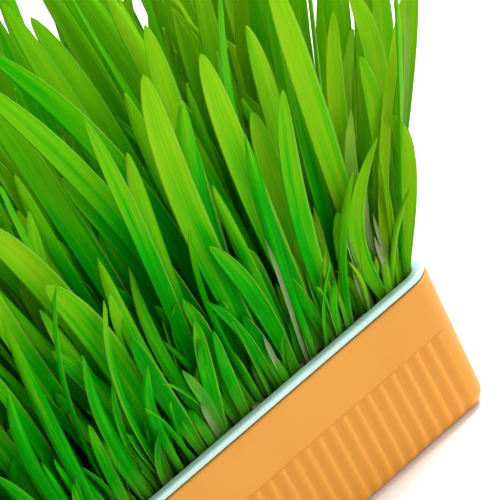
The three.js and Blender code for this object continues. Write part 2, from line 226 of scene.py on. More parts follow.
def make_lights():
    """A bright white tent, a broad key overhead and to the right, and a big soft lamp in front."""
    world = bpy.data.worlds.new("tent")
    world.use_nodes = True
    background = world.node_tree.nodes["Background"]
    background.inputs["Color"].default_value = (1.0, 1.0, 1.0, 1.0)
    background.inputs["Strength"].default_value = TENT_STRENGTH
    bpy.context.scene.world = world
    area_light("key", place=(0.82, 0.02, 1.05), size=0.45, power=21.5, colour=(1.0, 0.98, 0.94))
    area_light("side", place=(0.15, -2.15, 0.55), size=1.4, power=15.0)


def make_floor():
    """The pale matt ground that the tray stands on."""
    half = FLOOR_HALF_SIDE
    corners = [(-half, -half, 0), (half, -half, 0), (half, half, 0), (-half, half, 0)]
    mesh = bpy.data.meshes.new("floor")
    mesh.from_pydata(corners, [], [(0, 1, 2, 3)])
    floor = new_object("floor", mesh)
    paint, shader = new_material("floor_white")
    shader.inputs["Base Color"].default_value = (0.9, 0.9, 0.9, 1.0)
    shader.inputs["Roughness"].default_value = 0.8
    mesh.materials.append(paint)


# ---------- material helpers


def new_material(name):
    """A material and its shader."""
    material = bpy.data.materials.new(name)
    material.use_nodes = True
    return material, material.node_tree.nodes["Principled BSDF"]


class Nodes:
    """Short calls for making and joining the nodes of one material."""

    def __init__(self, material):
        self.tree = material.node_tree

    def add(self, kind, **settings):
        node = self.tree.nodes.new(kind)
        for name, value in settings.items():
            setattr(node, name, value)
        return node

    def feed(self, socket, value):
        """Joins another node's output to the socket, or sets the socket to a number or colour."""
        if isinstance(value, bpy.types.NodeSocket):
            self.tree.links.new(value, socket)
        elif socket.type == "RGBA":
            socket.default_value = (*value, 1.0)
        else:
            socket.default_value = value

    def math(self, operation, first, second=0.0):
        node = self.add("ShaderNodeMath", operation=operation)
        self.feed(node.inputs[0], first)
        self.feed(node.inputs[1], second)
        return node.outputs[0]

    def times(self, value, factor):
        return self.math("MULTIPLY", value, factor)

    def total(self, first, *others):
        for other in others:
            first = self.math("ADD", first, other)
        return first

    def spread(self, value, low, high, out_low=0.0, out_high=1.0):
        """value from low..high to out_low..out_high, held at the ends."""
        node = self.add("ShaderNodeMapRange", clamp=True)
        for socket, given in zip(node.inputs, (value, low, high, out_low, out_high)):
            self.feed(socket, given)
        return node.outputs[0]

    def mix(self, share, first, second):
        node = self.add("ShaderNodeMix", data_type="RGBA")
        self.feed(node.inputs["Factor"], share)
        self.feed(node.inputs[6], first)
        self.feed(node.inputs[7], second)
        return node.outputs[2]

    def ramp(self, value, stops):
        """A colour for each place from 0 to 1, blended between the stops."""
        node = self.add("ShaderNodeValToRGB")
        points = node.color_ramp.elements
        while len(points) < len(stops):
            points.new(0.5)
        for point, (position, colour) in zip(points, stops):
            point.position = position
            point.color = (*colour, 1.0)
        self.feed(node.inputs["Fac"], value)
        return node.outputs["Color"]

    def join(self, x, y, z):
        node = self.add("ShaderNodeCombineXYZ")
        for socket, given in zip(node.inputs, (x, y, z)):
            self.feed(socket, given)
        return node.outputs[0]

    def split(self, place):
        node = self.add("ShaderNodeSeparateXYZ")
        self.feed(node.inputs[0], place)
        return node.outputs

    def attribute(self, name):
        return self.add("ShaderNodeAttribute", attribute_name=name).outputs["Fac"]

    def place(self):
        return self.add("ShaderNodeTexCoord").outputs["Object"]

    def noise(self, vector, scale, detail=3.0, roughness=0.5):
        """Cloudy noise about 0.5, with scale in cells to the metre for an object's own place."""
        node = self.add("ShaderNodeTexNoise")
        self.feed(node.inputs["Vector"], vector)
        node.inputs["Scale"].default_value = scale
        node.inputs["Detail"].default_value = detail
        node.inputs["Roughness"].default_value = roughness
        return node.outputs["Fac"]

    def bump(self, height, distance, strength=1.0):
        node = self.add("ShaderNodeBump")
        node.inputs["Strength"].default_value = strength
        node.inputs["Distance"].default_value = distance
        self.feed(node.inputs["Height"], height)
        return node.outputs[0]


# ---------- materials


def tub_plastic():
    """Satin moulded orange: faint flow clouds, a pebbled skin, painted light on the flutes' crests and
    painted shade in their grooves.
    """
    material, shader = new_material("tub_plastic")
    nodes = Nodes(material)
    place = nodes.place()
    deep, bright = (0.545, 0.219, 0.0137), (0.578, 0.24, 0.018)
    # Painted light for the crests and painted shade for the grooves, mixed in by the flutes' painted
    # shading.
    painted_crest_light, painted_groove_shade = (0.615, 0.252, 0.018), (0.525, 0.208, 0.01)
    clouds = nodes.spread(nodes.noise(place, 28.0, 2.0), 0.35, 0.65)
    flute_painted_shading = nodes.attribute("flute_painted_shading")
    colour = nodes.mix(clouds, deep, bright)
    colour = nodes.mix(nodes.spread(flute_painted_shading, 0.0, 1.0), colour, painted_crest_light)
    colour = nodes.mix(nodes.spread(flute_painted_shading, 0.0, -1.0), colour, painted_groove_shade)
    nodes.feed(shader.inputs["Base Color"], colour)
    scuffs = nodes.noise(place, 160.0, 4.0, 0.6)
    nodes.feed(shader.inputs["Roughness"], nodes.spread(scuffs, 0.3, 0.7, 0.36, 0.5))
    pebbles = nodes.noise(place, 2600.0, 2.0)
    nodes.feed(shader.inputs["Normal"], nodes.bump(pebbles, 0.00004, 0.5))
    shader.inputs["Specular IOR Level"].default_value = 0.4
    shader.inputs["Subsurface Weight"].default_value = 0.12
    shader.inputs["Subsurface Radius"].default_value = (1.0, 0.4, 0.1)
    shader.inputs["Subsurface Scale"].default_value = 0.002
    return material


def liner_plastic():
    """Thin milky plastic with an aqua cast, cloudier in patches."""
    material, shader = new_material("liner_plastic")
    nodes = Nodes(material)
    place = nodes.place()
    clear, cloudy = (0.39, 0.60, 0.58), (0.48, 0.66, 0.64)
    clouds = nodes.spread(nodes.noise(place, 45.0, 3.0), 0.3, 0.7)
    nodes.feed(shader.inputs["Base Color"], nodes.mix(clouds, clear, cloudy))
    haze = nodes.noise(place, 300.0, 3.0)
    nodes.feed(shader.inputs["Roughness"], nodes.spread(haze, 0.3, 0.7, 0.22, 0.38))
    shader.inputs["Subsurface Weight"].default_value = 0.5
    shader.inputs["Subsurface Radius"].default_value = (0.8, 1.0, 1.0)
    shader.inputs["Subsurface Scale"].default_value = 0.004
    return material


def soil_material():
    """Dark damp medium with lighter crumbs and fibres."""
    material, shader = new_material("growing_medium")
    nodes = Nodes(material)
    place = nodes.place()
    damp, crumb, fibre = (0.012, 0.008, 0.005), (0.085, 0.05, 0.026), (0.30, 0.23, 0.13)
    crumbs = nodes.noise(place, 420.0, 6.0, 0.7)
    fibres = nodes.noise(place, 1300.0, 2.0)
    colour = nodes.mix(nodes.spread(crumbs, 0.4, 0.62), damp, crumb)
    colour = nodes.mix(nodes.spread(fibres, 0.62, 0.7, 0.0, 0.6), colour, fibre)
    nodes.feed(shader.inputs["Base Color"], colour)
    nodes.feed(shader.inputs["Roughness"], nodes.spread(crumbs, 0.3, 0.7, 0.75, 0.95))
    nodes.feed(shader.inputs["Normal"], nodes.bump(crumbs, 0.0012))
    return material


def grain_material():
    """Straw-coloured wheat grain, browner where it is damp."""
    material, shader = new_material("grain")
    nodes = Nodes(material)
    place = nodes.place()
    straw, brown, pale = (0.34, 0.21, 0.085), (0.13, 0.07, 0.028), (0.46, 0.33, 0.16)
    damp = nodes.spread(nodes.noise(place, 260.0, 4.0), 0.38, 0.66)
    colour = nodes.mix(damp, straw, brown)
    colour = nodes.mix(nodes.times(nodes.attribute("tint"), 0.5), colour, pale)
    nodes.feed(shader.inputs["Base Color"], colour)
    nodes.feed(shader.inputs["Roughness"], nodes.spread(damp, 0.0, 1.0, 0.6, 0.42))
    wrinkles = nodes.noise(place, 1500.0, 3.0)
    nodes.feed(shader.inputs["Normal"], nodes.bump(wrinkles, 0.0002, 0.7))
    return material


def rootlet_material():
    """Off-white root, stained by the soil in places."""
    material, shader = new_material("rootlet")
    nodes = Nodes(material)
    clean, stained = (0.62, 0.56, 0.42), (0.25, 0.17, 0.09)
    stain = nodes.spread(nodes.noise(nodes.place(), 190.0, 3.0), 0.35, 0.7)
    nodes.feed(shader.inputs["Base Color"], nodes.mix(stain, clean, stained))
    nodes.feed(shader.inputs["Roughness"], nodes.spread(stain, 0.0, 1.0, 0.5, 0.8))
    return material


# Leaf colours for each blade's ripeness together with the painted light on it: dark pure green for
# unripe and shaded, yellow green for ripe and lit.
LEAF_GREENS = (
    (0.0, (0.0, 0.3, 0.001)),
    (0.3, (0.005, 0.47, 0.001)),
    (0.6, (0.16, 0.56, 0.003)),
    (1.0, (0.34, 0.61, 0.008)),
)


def leaf_streaks(nodes, across, along, tint):
    """Fine veins and broad bands that run along each blade, unlike those of its neighbours."""
    shift = nodes.times(tint, 37.0)
    vein_place = nodes.join(nodes.times(across, 7.0), nodes.times(along, 1.6), shift)
    veins = nodes.spread(nodes.noise(vein_place, 1.0, 3.0, 0.6), 0.34, 0.66)
    band_place = nodes.join(nodes.times(across, 1.3), nodes.times(along, 2.4), shift)
    bands = nodes.spread(nodes.noise(band_place, 1.0, 2.0), 0.35, 0.65)
    return veins, bands


def leaf_ripeness_and_painted_light(nodes, along, tint, veins, bands, x, height):
    """Riper towards the tip with painted light there too, painted light high up and near the tray's
    ends with painted shade low down and in the middle, and each blade's own tint.
    """
    tipward_ripening_and_light = nodes.spread(along, 0.1, 0.9, -0.07, 0.17)
    banded = nodes.spread(bands, 0.0, 1.0, -0.16, 0.16)
    # Painted light by height and by nearness to the tray's ends: yellower high up and at the ends,
    # greener and darker low in the stand and in the middle.
    painted_height_light = nodes.spread(height, 0.085, 0.13, -0.22, 0.18)
    painted_end_light = nodes.spread(nodes.math("ABSOLUTE", x), 0.05, 0.09, -0.22, 0.36)
    placed = nodes.math("MAXIMUM", painted_height_light, painted_end_light)
    return nodes.total(tipward_ripening_and_light, nodes.times(tint, 0.42), nodes.times(veins, 0.2), banded, placed)


def grass_material():
    """Fresh wheat leaf: fine veins along the blade, painted light towards the tips, high up and at the
    tray's ends, pale edges with a painted highlight, roots pale with painted light, no two blades
    alike.
    """
    material, shader = new_material("grass")
    nodes = Nodes(material)
    along, across, tint = (nodes.attribute(name) for name in ("along", "across", "tint"))
    x, _, height = nodes.split(nodes.place())
    veins, bands = leaf_streaks(nodes, across, along, tint)

    pale_edge_and_highlight, pale_root_and_painted_light, straw = (0.42, 0.7, 0.08), (0.26, 0.64, 0.035), (0.50, 0.51, 0.30)
    colour = nodes.ramp(leaf_ripeness_and_painted_light(nodes, along, tint, veins, bands, x, height), LEAF_GREENS)
    # A paler margin along one edge of each blade, partly a painted highlight.
    colour = nodes.mix(nodes.spread(across, 0.78, 0.98, 0.0, 0.55), colour, pale_edge_and_highlight)
    # Paler and brighter near the medium: the stems' paler feet, and painted light over the shade at
    # the blades' bases.
    colour = nodes.mix(nodes.spread(height, 0.043, 0.058, 0.45, 0.0), colour, pale_root_and_painted_light)
    colour = nodes.mix(nodes.attribute("dry"), colour, straw)
    nodes.feed(shader.inputs["Base Color"], colour)
    nodes.feed(shader.inputs["Roughness"], nodes.spread(veins, 0.0, 1.0, 0.42, 0.56))
    nodes.feed(shader.inputs["Normal"], nodes.bump(veins, 0.00012, 0.6))
    shader.inputs["Specular IOR Level"].default_value = 0.08
    shader.inputs["Specular Tint"].default_value = (0.8, 1.0, 0.4, 1.0)

    glow = nodes.add("ShaderNodeBsdfTranslucent")
    nodes.feed(glow.inputs["Color"], nodes.mix(0.35, colour, (0.03, 0.6, 0.002)))
    both = nodes.add("ShaderNodeMixShader")
    both.inputs["Fac"].default_value = 0.42
    nodes.feed(both.inputs[1], shader.outputs[0])
    nodes.feed(both.inputs[2], glow.outputs[0])
    output = material.node_tree.nodes["Material Output"]
    nodes.feed(output.inputs["Surface"], both.outputs[0])
    return material


# ---------- meshes


def mesh_piece(name, points, faces, material, node_names, attributes=None):
    """A smooth piece from points in millimetres, standing for CAD nodes of the root body."""
    mesh = bpy.data.meshes.new(name)
    mesh.from_pydata((np.asarray(points) * MM).tolist(), [], faces)
    for key, values in (attributes or {}).items():
        layer = mesh.attributes.new(key, "FLOAT", "POINT")
        layer.data.foreach_set("value", np.asarray(values, dtype=np.float32))
    mesh.polygons.foreach_set("use_smooth", [True] * len(mesh.polygons))
    mesh.materials.append(material)
    mesh.update()
    piece = new_object(name, mesh)
    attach(piece, "root")
    if node_names:
        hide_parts(*node_names)


def ring_faces(rings, count):
    """Quads between stacked rings, and an n-sided face across the first ring and the last."""
    corner = np.arange(count)
    following = (corner + 1) % count
    faces = [tuple(corner[::-1].tolist())]
    for level in range(rings - 1):
        low, high = level * count, (level + 1) * count
        quads = np.stack([low + corner, low + following, high + following, high + corner], 1)
        faces.extend(map(tuple, quads.tolist()))
    faces.append(tuple(((rings - 1) * count + corner).tolist()))
    return faces


def joined(shapes, faces_of_one):
    """Points and faces of many shapes as one mesh; each shape has the same faces."""
    faces = []
    for number, shape in enumerate(shapes):
        first = number * len(shape)
        faces.extend(tuple(first + corner for corner in face) for face in faces_of_one)
    return np.concatenate(shapes), faces


# ---------- tub and liner

POINTS_PER_FLUTE = 12
CORNER_STEPS = 9
LEAST_CORNER = 0.8  # corner radius of a ring drawn far in
FOOT_STEP = 10  # degrees between the rings of the foot
FOOT_FADE = 1.6  # above 1, the flutes are at full depth before the top of the foot
FLUTE_LEVELS = 7
FLUTE_END = 0.5  # how far below FLUTE_TOP the flutes begin to close
PANEL_LINE = 0.35
# The top of the fluted panel: height from FLUTE_TOP, share of the flutes' depth, and the depth of the
# fine line that runs along it, which is also painted dark as a shadow line.
PANEL_EDGE = ((-0.2, 0.96, 0.0), (0.0, 0.55, PANEL_LINE), (0.2, 0.12, 0.0), (0.4, 0.0, 0.0))
# The plain band above the panel: how far it stays from the panel and from the lip, and its levels.
BAND_START, BAND_END, BAND_LEVELS = 1.5, 0.6, 5
# The tub's lip, from outside to inside: depth below the top, and inset.
LIP = ((0.2, 0.12), (0.0, 0.5), (0.0, TUB_WALL - 0.5), (0.4, TUB_WALL))
FILLET = 1.5  # round the floors of the tub and the liner
RIM_BEAD = 0.75  # radius of the upper edges of the liner's rim
BEAD_STEP = 15  # degrees between its points
RIM_EASE = 0.3  # bevel of the rim's lower edge
RIM_FLARE, RIM_FLARE_HEIGHT = 0.6, 0.8  # where the liner's wall turns out into the rim


class Outline:
    """The tub's outline: points round it with their outward directions and flute phases."""

    def __init__(self, points_per_flute):
        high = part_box("tub")[1]
        self.half_length, self.half_depth = high.x / MM, high.y / MM
        self.height = high.z / MM
        sides = (
            (self.half_depth, FLUTES_ON_SHORT_SIDE, (1, 0), (0, 1)),
            (self.half_length, FLUTES_ON_LONG_SIDE, (0, 1), (-1, 0)),
            (self.half_depth, FLUTES_ON_SHORT_SIDE, (-1, 0), (0, -1)),
            (self.half_length, FLUTES_ON_LONG_SIDE, (0, -1), (1, 0)),
        )
        along, outward, run, phase, bend = [], [], [], [], []
        for half_side, flutes, out, forward in sides:
            panel = flutes * FLUTE_PITCH / 2
            straight = half_side - TUB_CORNER
            steps = np.linspace(-panel, panel, flutes * points_per_flute + 1)
            steps = steps[np.abs(steps) < straight]
            steps = np.concatenate([[-straight], steps, [straight]])
            turns = np.linspace(0, math.pi / 2, CORNER_STEPS + 2)[1:-1]
            along += [*steps, *[straight] * CORNER_STEPS]
            phase += [*np.where(np.abs(steps) < panel, (steps + panel) / FLUTE_PITCH, 0.0)]
            phase += [0.0] * CORNER_STEPS
            bend += [*[0.0] * len(steps), *turns]
            outward += [out] * (len(steps) + CORNER_STEPS)
            run += [forward] * (len(steps) + CORNER_STEPS)
        self.along = np.array(along)
        self.outward = np.array(outward, dtype=float)
        self.run = np.array(run, dtype=float)
        self.phase = np.array(phase)
        self.bend = np.array(bend)
        self.count = len(along)

    def ring(self, height, inset, sunk=0.0):
        """Points at a height, drawn in by the draft and an inset; sunk moves each one in as well."""
        drawn_in = draft_at(height, self.height) + inset
        radius = max(TUB_CORNER - drawn_in, LEAST_CORNER)
        shift = TUB_CORNER - drawn_in - radius
        half = np.where(self.outward[:, 0] != 0, self.half_length, self.half_depth) - drawn_in
        out = half - radius * (1 - np.cos(self.bend)) - sunk
        forward = self.along + np.sign(self.along) * shift + radius * np.sin(self.bend)
        points = self.outward * out[:, None] + self.run * forward[:, None]
        return np.column_stack([points, np.full(self.count, height)])


def draft_at(height, tub_height):
    """How far the tub's drafted walls stand in at a height."""
    return max(tub_height - height, 0.0) * math.tan(DRAFT)


def flute_shape(phase):
    """Depth across a flute, from 0 at its crests to 1 in its middle."""
    return np.sin(np.pi * (phase % 1.0)) ** 2


def make_tub(material):
    """The shell: rounded foot, fluted panel, plain band, lip and plain inside."""
    outline = Outline(POINTS_PER_FLUTE)
    shape = flute_shape(outline.phase)
    fluted = outline.phase > 0
    rings, flute_painted_shadings = [], []

    def level(z, inset, depth=0.0, line=0.0):
        """One ring, its flutes sunk to a depth, or the whole panel to a line where that is deeper. Its
        painted shading is light on the crests, shade in the grooves and shade all along the line.
        """
        rings.append(outline.ring(z, inset, np.maximum(depth * shape, line * fluted)))
        # Painted shading of the flutes: 1 on the crests for painted light, -1 in the grooves for
        # painted shade.
        crests = fluted * (1 - 2 * shape) * depth / FLUTE_DEPTH
        # Along the fine line the whole panel is painted in the grooves' shade.
        flute_painted_shadings.append(-1.0 * fluted if line else crests)

    for degrees in range(90, -1, -FOOT_STEP):
        rise = 1 - math.sin(math.radians(degrees))
        inwards = 1 - math.cos(math.radians(degrees))
        fade = min(1.0, rise * FOOT_FADE)
        level(FOOT_RADIUS * rise, FOOT_RADIUS * inwards, FLUTE_DEPTH * fade)
    for z in np.linspace(FOOT_RADIUS, FLUTE_TOP - FLUTE_END, FLUTE_LEVELS + 1)[1:]:
        level(z, 0.0, FLUTE_DEPTH)
    for above, share, line in PANEL_EDGE:
        level(FLUTE_TOP + above, 0.0, FLUTE_DEPTH * share, line)
    for z in np.linspace(FLUTE_TOP + BAND_START, outline.height - BAND_END, BAND_LEVELS):
        level(z, 0.0)
    for below, inset in LIP:
        level(outline.height - below, inset)
    level(TUB_WALL + FILLET, TUB_WALL)
    level(TUB_WALL, TUB_WALL + FILLET)
    faces = ring_faces(len(rings), outline.count)
    flute_painted_shading = {"flute_painted_shading": np.concatenate(flute_painted_shadings)}
    mesh_piece("tub_shell", np.concatenate(rings), faces, material, ["tub"], flute_painted_shading)


def make_liner(material):
    """The thin pan, from its underside out to the rim, over the rim's beads and down to its floor."""
    outline = Outline(points_per_flute=1)
    rim_bottom = outline.height + FIT_GAP
    rim_top = rim_bottom + LINER_RIM_THICKNESS

    def bead(degrees, edge, inwards):
        """A point of the rim's rounded edge, from its side at 0 degrees to its top at 90."""
        turn = math.radians(degrees)
        sunk = RIM_BEAD * (1 - math.cos(turn))
        return rim_top - RIM_BEAD + RIM_BEAD * math.sin(turn), edge + inwards * sunk

    profile = [
        (LINER_INSET, LINER_INSET + FILLET),
        (LINER_INSET + FILLET, LINER_INSET),
        (rim_bottom - RIM_FLARE_HEIGHT, LINER_INSET),
        (rim_bottom, LINER_INSET - RIM_FLARE),
        (rim_bottom, FIT_GAP + RIM_EASE),
        (rim_bottom + RIM_EASE, FIT_GAP),
    ]
    profile += [bead(degrees, FIT_GAP, 1) for degrees in range(0, 91, BEAD_STEP)]
    profile += [bead(degrees, CAVITY_INSET, -1) for degrees in range(90, -1, -BEAD_STEP)]
    profile += [(CAVITY_INSET + FILLET, CAVITY_INSET), (CAVITY_INSET, CAVITY_INSET + FILLET)]
    rings = [outline.ring(z, inset) for z, inset in profile]
    faces = ring_faces(len(rings), outline.count)
    mesh_piece("liner_pan", np.concatenate(rings), faces, material, ["liner"])


# ---------- growing medium

CROWN_HALF_WIDTH = 9.0
CROWN_RISE = 1.2
CROWN_SLOPE = 3.0  # width of the slope up to a crown
SOIL_SINK = 0.4  # how far the soil's mean level lies below the solid's
SOIL_CORNER = TUB_CORNER / 2
GRID_STEP = 1.25
CLOD_WAVES = ((16.0, 0.5), (5.0, 0.55), (2.6, 0.45))

GRAINS_PER_CROWN = 11
GRAIN_LENGTH = 5.8
GRAIN_WIDTH = 2.6
GRAIN_CREASE = 0.3
GRAIN_RINGS, GRAIN_SIDES = 7, 10
GRAIN_REACH = 10
GRAIN_MARGIN = 4
GRAIN_RISE = 0.5
GRAIN_SEED = SEED + 1

ROOTLETS = 260
ROOTLET_RINGS, ROOTLET_SIDES = 7, 4
ROOTLET_STEP = 1.3
ROOTLET_RADII = (0.16, 0.3)
ROOTLET_THINNING = 0.6
ROOTLET_BEND = 0.6
ROOTLET_RISE = 0.15
ROOTLET_MARGIN = 8
ROOTLET_SEED = SEED + 2


def clods(columns, rows):
    """A rolling, crumbly height for each place of a grid, about zero on average."""
    draw = np.random.default_rng(SEED)
    total = np.zeros((rows, columns))
    for wave, height in CLOD_WAVES:
        cells = wave / GRID_STEP
        coarse = draw.random((int(rows / cells) + 3, int(columns / cells) + 3)) - 0.5
        y = np.arange(rows) / cells
        x = np.arange(columns) / cells
        y0, x0 = y.astype(int), x.astype(int)
        fy = (1 - np.cos(np.pi * (y - y0))) / 2
        fx = (1 - np.cos(np.pi * (x - x0))) / 2
        low = coarse[y0][:, x0] * (1 - fx) + coarse[y0][:, x0 + 1] * fx
        high = coarse[y0 + 1][:, x0] * (1 - fx) + coarse[y0 + 1][:, x0 + 1] * fx
        total += 2 * height * (low * (1 - fy)[:, None] + high * fy[:, None])
    return total


def round_corners(x, y, bed):
    """The bed's grid squeezed so that its corners become arcs."""
    over_x = np.clip(np.abs(x) - (bed.half_length - SOIL_CORNER), 0, SOIL_CORNER)
    over_y = np.clip(np.abs(y) - (bed.half_depth - SOIL_CORNER), 0, SOIL_CORNER)
    pull_x = over_x * (1 - np.sqrt(1 - (over_y / SOIL_CORNER) ** 2 / 2))
    pull_y = over_y * (1 - np.sqrt(1 - (over_x / SOIL_CORNER) ** 2 / 2))
    return x - np.sign(x) * pull_x, y - np.sign(y) * pull_y


class Soil:
    """The medium's crumbly top on a grid, swelling over each crown."""

    def __init__(self, bed):
        self.bed = bed
        self.columns = int(2 * bed.half_length / GRID_STEP) + 1
        self.rows = int(2 * bed.half_depth / GRID_STEP) + 1
        x = np.linspace(-bed.half_length, bed.half_length, self.columns)
        y = np.linspace(-bed.half_depth, bed.half_depth, self.rows)
        self.x, self.y = round_corners(*np.meshgrid(x, y), bed)
        swell = np.zeros_like(self.x)
        for crown_x, crown_y in bed.crowns():
            square = np.maximum(np.abs(self.x - crown_x), np.abs(self.y - crown_y))
            swell = np.maximum(swell, np.clip((CROWN_HALF_WIDTH + 1 - square) / CROWN_SLOPE, 0, 1))
        self.z = bed.top - SOIL_SINK + CROWN_RISE * swell + clods(self.columns, self.rows)

    def height_at(self, x, y):
        """The top at the grid point nearest a place."""
        half_length, half_depth = self.bed.half_length, self.bed.half_depth
        column = round((x + half_length) / (2 * half_length) * (self.columns - 1))
        row = round((y + half_depth) / (2 * half_depth) * (self.rows - 1))
        return self.z[min(max(row, 0), self.rows - 1), min(max(column, 0), self.columns - 1)]


def make_medium(soil, material):
    """The soil block: the crumbly top, and drafted sides down to a plain underside."""
    bed = soil.bed
    top = np.stack([soil.x, soil.y, soil.z], -1).reshape(-1, 3)
    corner = np.arange(soil.rows * soil.columns).reshape(soil.rows, soil.columns)
    quads = np.stack([corner[:-1, :-1], corner[:-1, 1:], corner[1:, 1:], corner[1:, :-1]], -1)
    edge = np.concatenate([corner[0, :-1], corner[:-1, -1], corner[-1, :0:-1], corner[:0:-1, 0]])
    floor = CAVITY_INSET + FIT_GAP
    drawn_in = draft_at(floor, bed.tub_height)
    shrink = np.array([1 - drawn_in / bed.half_length, 1 - drawn_in / bed.half_depth, 0])
    under = top[edge] * shrink + (0, 0, floor)
    low = len(top) + np.arange(len(edge))
    sides = np.stack([edge, low, np.roll(low, -1), np.roll(edge, -1)], -1)
    faces = [tuple(quad) for quad in quads.reshape(-1, 4).tolist() + sides.tolist()]
    faces.append(tuple(low[::-1].tolist()))
    points = np.concatenate([top, under])
    mesh_piece("soil", points, faces, material, ["growing_medium"])


def grain_shape():
    """One grain along X, blunt at both ends, with a crease along its top."""
    turn = np.linspace(0, 2 * np.pi, GRAIN_SIDES, endpoint=False)
    crease = 1 - GRAIN_CREASE * np.exp(-((turn - np.pi / 2) ** 2) / 0.12)
    lean = np.linspace(0.04, np.pi - 0.04, GRAIN_RINGS)[:, None]
    girth = np.sin(lean) ** 0.8
    x = np.repeat(np.cos(lean), GRAIN_SIDES, 1) * GRAIN_LENGTH / 2
    y = girth * np.cos(turn) * GRAIN_WIDTH / 2
    z = girth * np.sin(turn) * crease * GRAIN_WIDTH / 2
    return np.stack([x, y, z], -1).reshape(-1, 3)


def make_grains(bed, soil, material):
    """Sprouted grains, half sunk around the crowns."""
    body = grain_shape()
    draw = np.random.default_rng(GRAIN_SEED)
    most_x, most_y = bed.half_length - GRAIN_MARGIN, bed.half_depth - GRAIN_MARGIN
    grains, tints = [], []
    for crown_x, crown_y in bed.crowns():
        for _ in range(GRAINS_PER_CROWN):
            x = np.clip(crown_x + draw.uniform(-1, 1) * GRAIN_REACH, -most_x, most_x)
            y = np.clip(crown_y + draw.uniform(-1, 1) * GRAIN_REACH, -most_y, most_y)
            spin, tip, roll = draw.uniform(0, 2 * np.pi), draw.uniform(-0.5, 0.5), draw.uniform(-1, 1)
            rotation = Matrix.Rotation(spin, 3, "Z") @ Matrix.Rotation(tip, 3, "Y")
            rotation = np.array(rotation @ Matrix.Rotation(roll, 3, "X"))
            size = draw.uniform(0.85, 1.1)
            grains.append(body @ rotation.T * size + (x, y, soil.height_at(x, y) + GRAIN_RISE))
            tints.append(np.full(len(body), draw.random()))
    points, faces = joined(grains, ring_faces(GRAIN_RINGS, GRAIN_SIDES))
    tint = {"tint": np.concatenate(tints)}
    mesh_piece("grains", points, faces, material, [], tint)


def make_rootlets(bed, soil, material):
    """Fine pale roots that run over the soil between the crowns, thinning towards their tips."""
    turn = np.linspace(0, 2 * np.pi, ROOTLET_SIDES, endpoint=False)
    draw = np.random.default_rng(ROOTLET_SEED)
    rootlets = []
    for _ in range(ROOTLETS):
        x = draw.uniform(-1, 1) * (bed.half_length - ROOTLET_MARGIN)
        y = draw.uniform(-1, 1) * (bed.half_depth - ROOTLET_MARGIN)
        heading = draw.uniform(0, 2 * np.pi)
        thick = draw.uniform(*ROOTLET_RADII)
        rings = []
        for step, bend in enumerate(draw.uniform(-ROOTLET_BEND, ROOTLET_BEND, ROOTLET_RINGS)):
            ring_z = soil.height_at(x, y) + ROOTLET_RISE + thick * np.sin(turn)
            side_x, side_y = -math.sin(heading), math.cos(heading)
            slim = thick * (1 - ROOTLET_THINNING * step / ROOTLET_RINGS)
            ring = [x + slim * side_x * np.cos(turn), y + slim * side_y * np.cos(turn), ring_z]
            rings.append(np.stack(ring, -1))
            heading += bend
            x += ROOTLET_STEP * math.cos(heading)
            y += ROOTLET_STEP * math.sin(heading)
        rootlets.append(np.concatenate(rings))
    points, faces = joined(rootlets, ring_faces(ROOTLET_RINGS, ROOTLET_SIDES))
    mesh_piece("rootlets", points, faces, material, [])


# ---------- grass

MASK = 0xFFFFFFFF
SEED_STEP = 0x6D2B79F5


def random_from(seed):
    """The part's seeded generator of numbers from 0 to 1."""
    state = seed & MASK

    def draw():
        nonlocal state
        state = (state + SEED_STEP) & MASK
        mixed = ((state ^ (state >> 15)) * (1 | state)) & MASK
        mixed ^= (mixed + ((mixed ^ (mixed >> 7)) * (61 | mixed))) & MASK
        return ((mixed ^ (mixed >> 14)) & MASK) / (MASK + 1)

    return draw


class Bed:
    """Where the grass stands: the medium's surface, its half sizes and the liner's opening."""

    def __init__(self):
        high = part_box("tub")[1]
        self.tub_height = high.z / MM
        self.room_x = high.x / MM - CAVITY_INSET
        self.room_y = high.y / MM - CAVITY_INSET
        self.half_length = self.room_x - FIT_GAP
        self.half_depth = self.room_y - FIT_GAP
        self.rim_top = self.tub_height + FIT_GAP + LINER_RIM_THICKNESS
        self.top = self.rim_top - MEDIUM_BELOW_RIM
        self.root_z = self.top - ROOT_SUNK

    def crowns(self):
        """The middles of the tufts, row by row."""
        step_x = 2 * self.half_length / TUFT_COLUMNS
        step_y = 2 * self.half_depth / TUFT_ROWS
        return [
            ((column - (TUFT_COLUMNS - 1) / 2) * step_x, (row - (TUFT_ROWS - 1) / 2) * step_y)
            for row in range(TUFT_ROWS)
            for column in range(TUFT_COLUMNS)
        ]

    def fan(self, x, y):
        """Grass stands almost upright in the middle and fans out over the edges."""
        towards_end = (abs(x) / self.half_length) ** END_LEAN_GROWTH
        lean_x = LIGHT_LEAN + math.copysign(END_LEAN * towards_end, x)
        return lean_x, SIDE_LEAN * y / self.half_depth

    def size_at(self, y):
        """Blades rooted near the long edges are smaller."""
        return EDGE_SIZE if abs(y) > self.half_depth - EDGE_BAND else 1.0


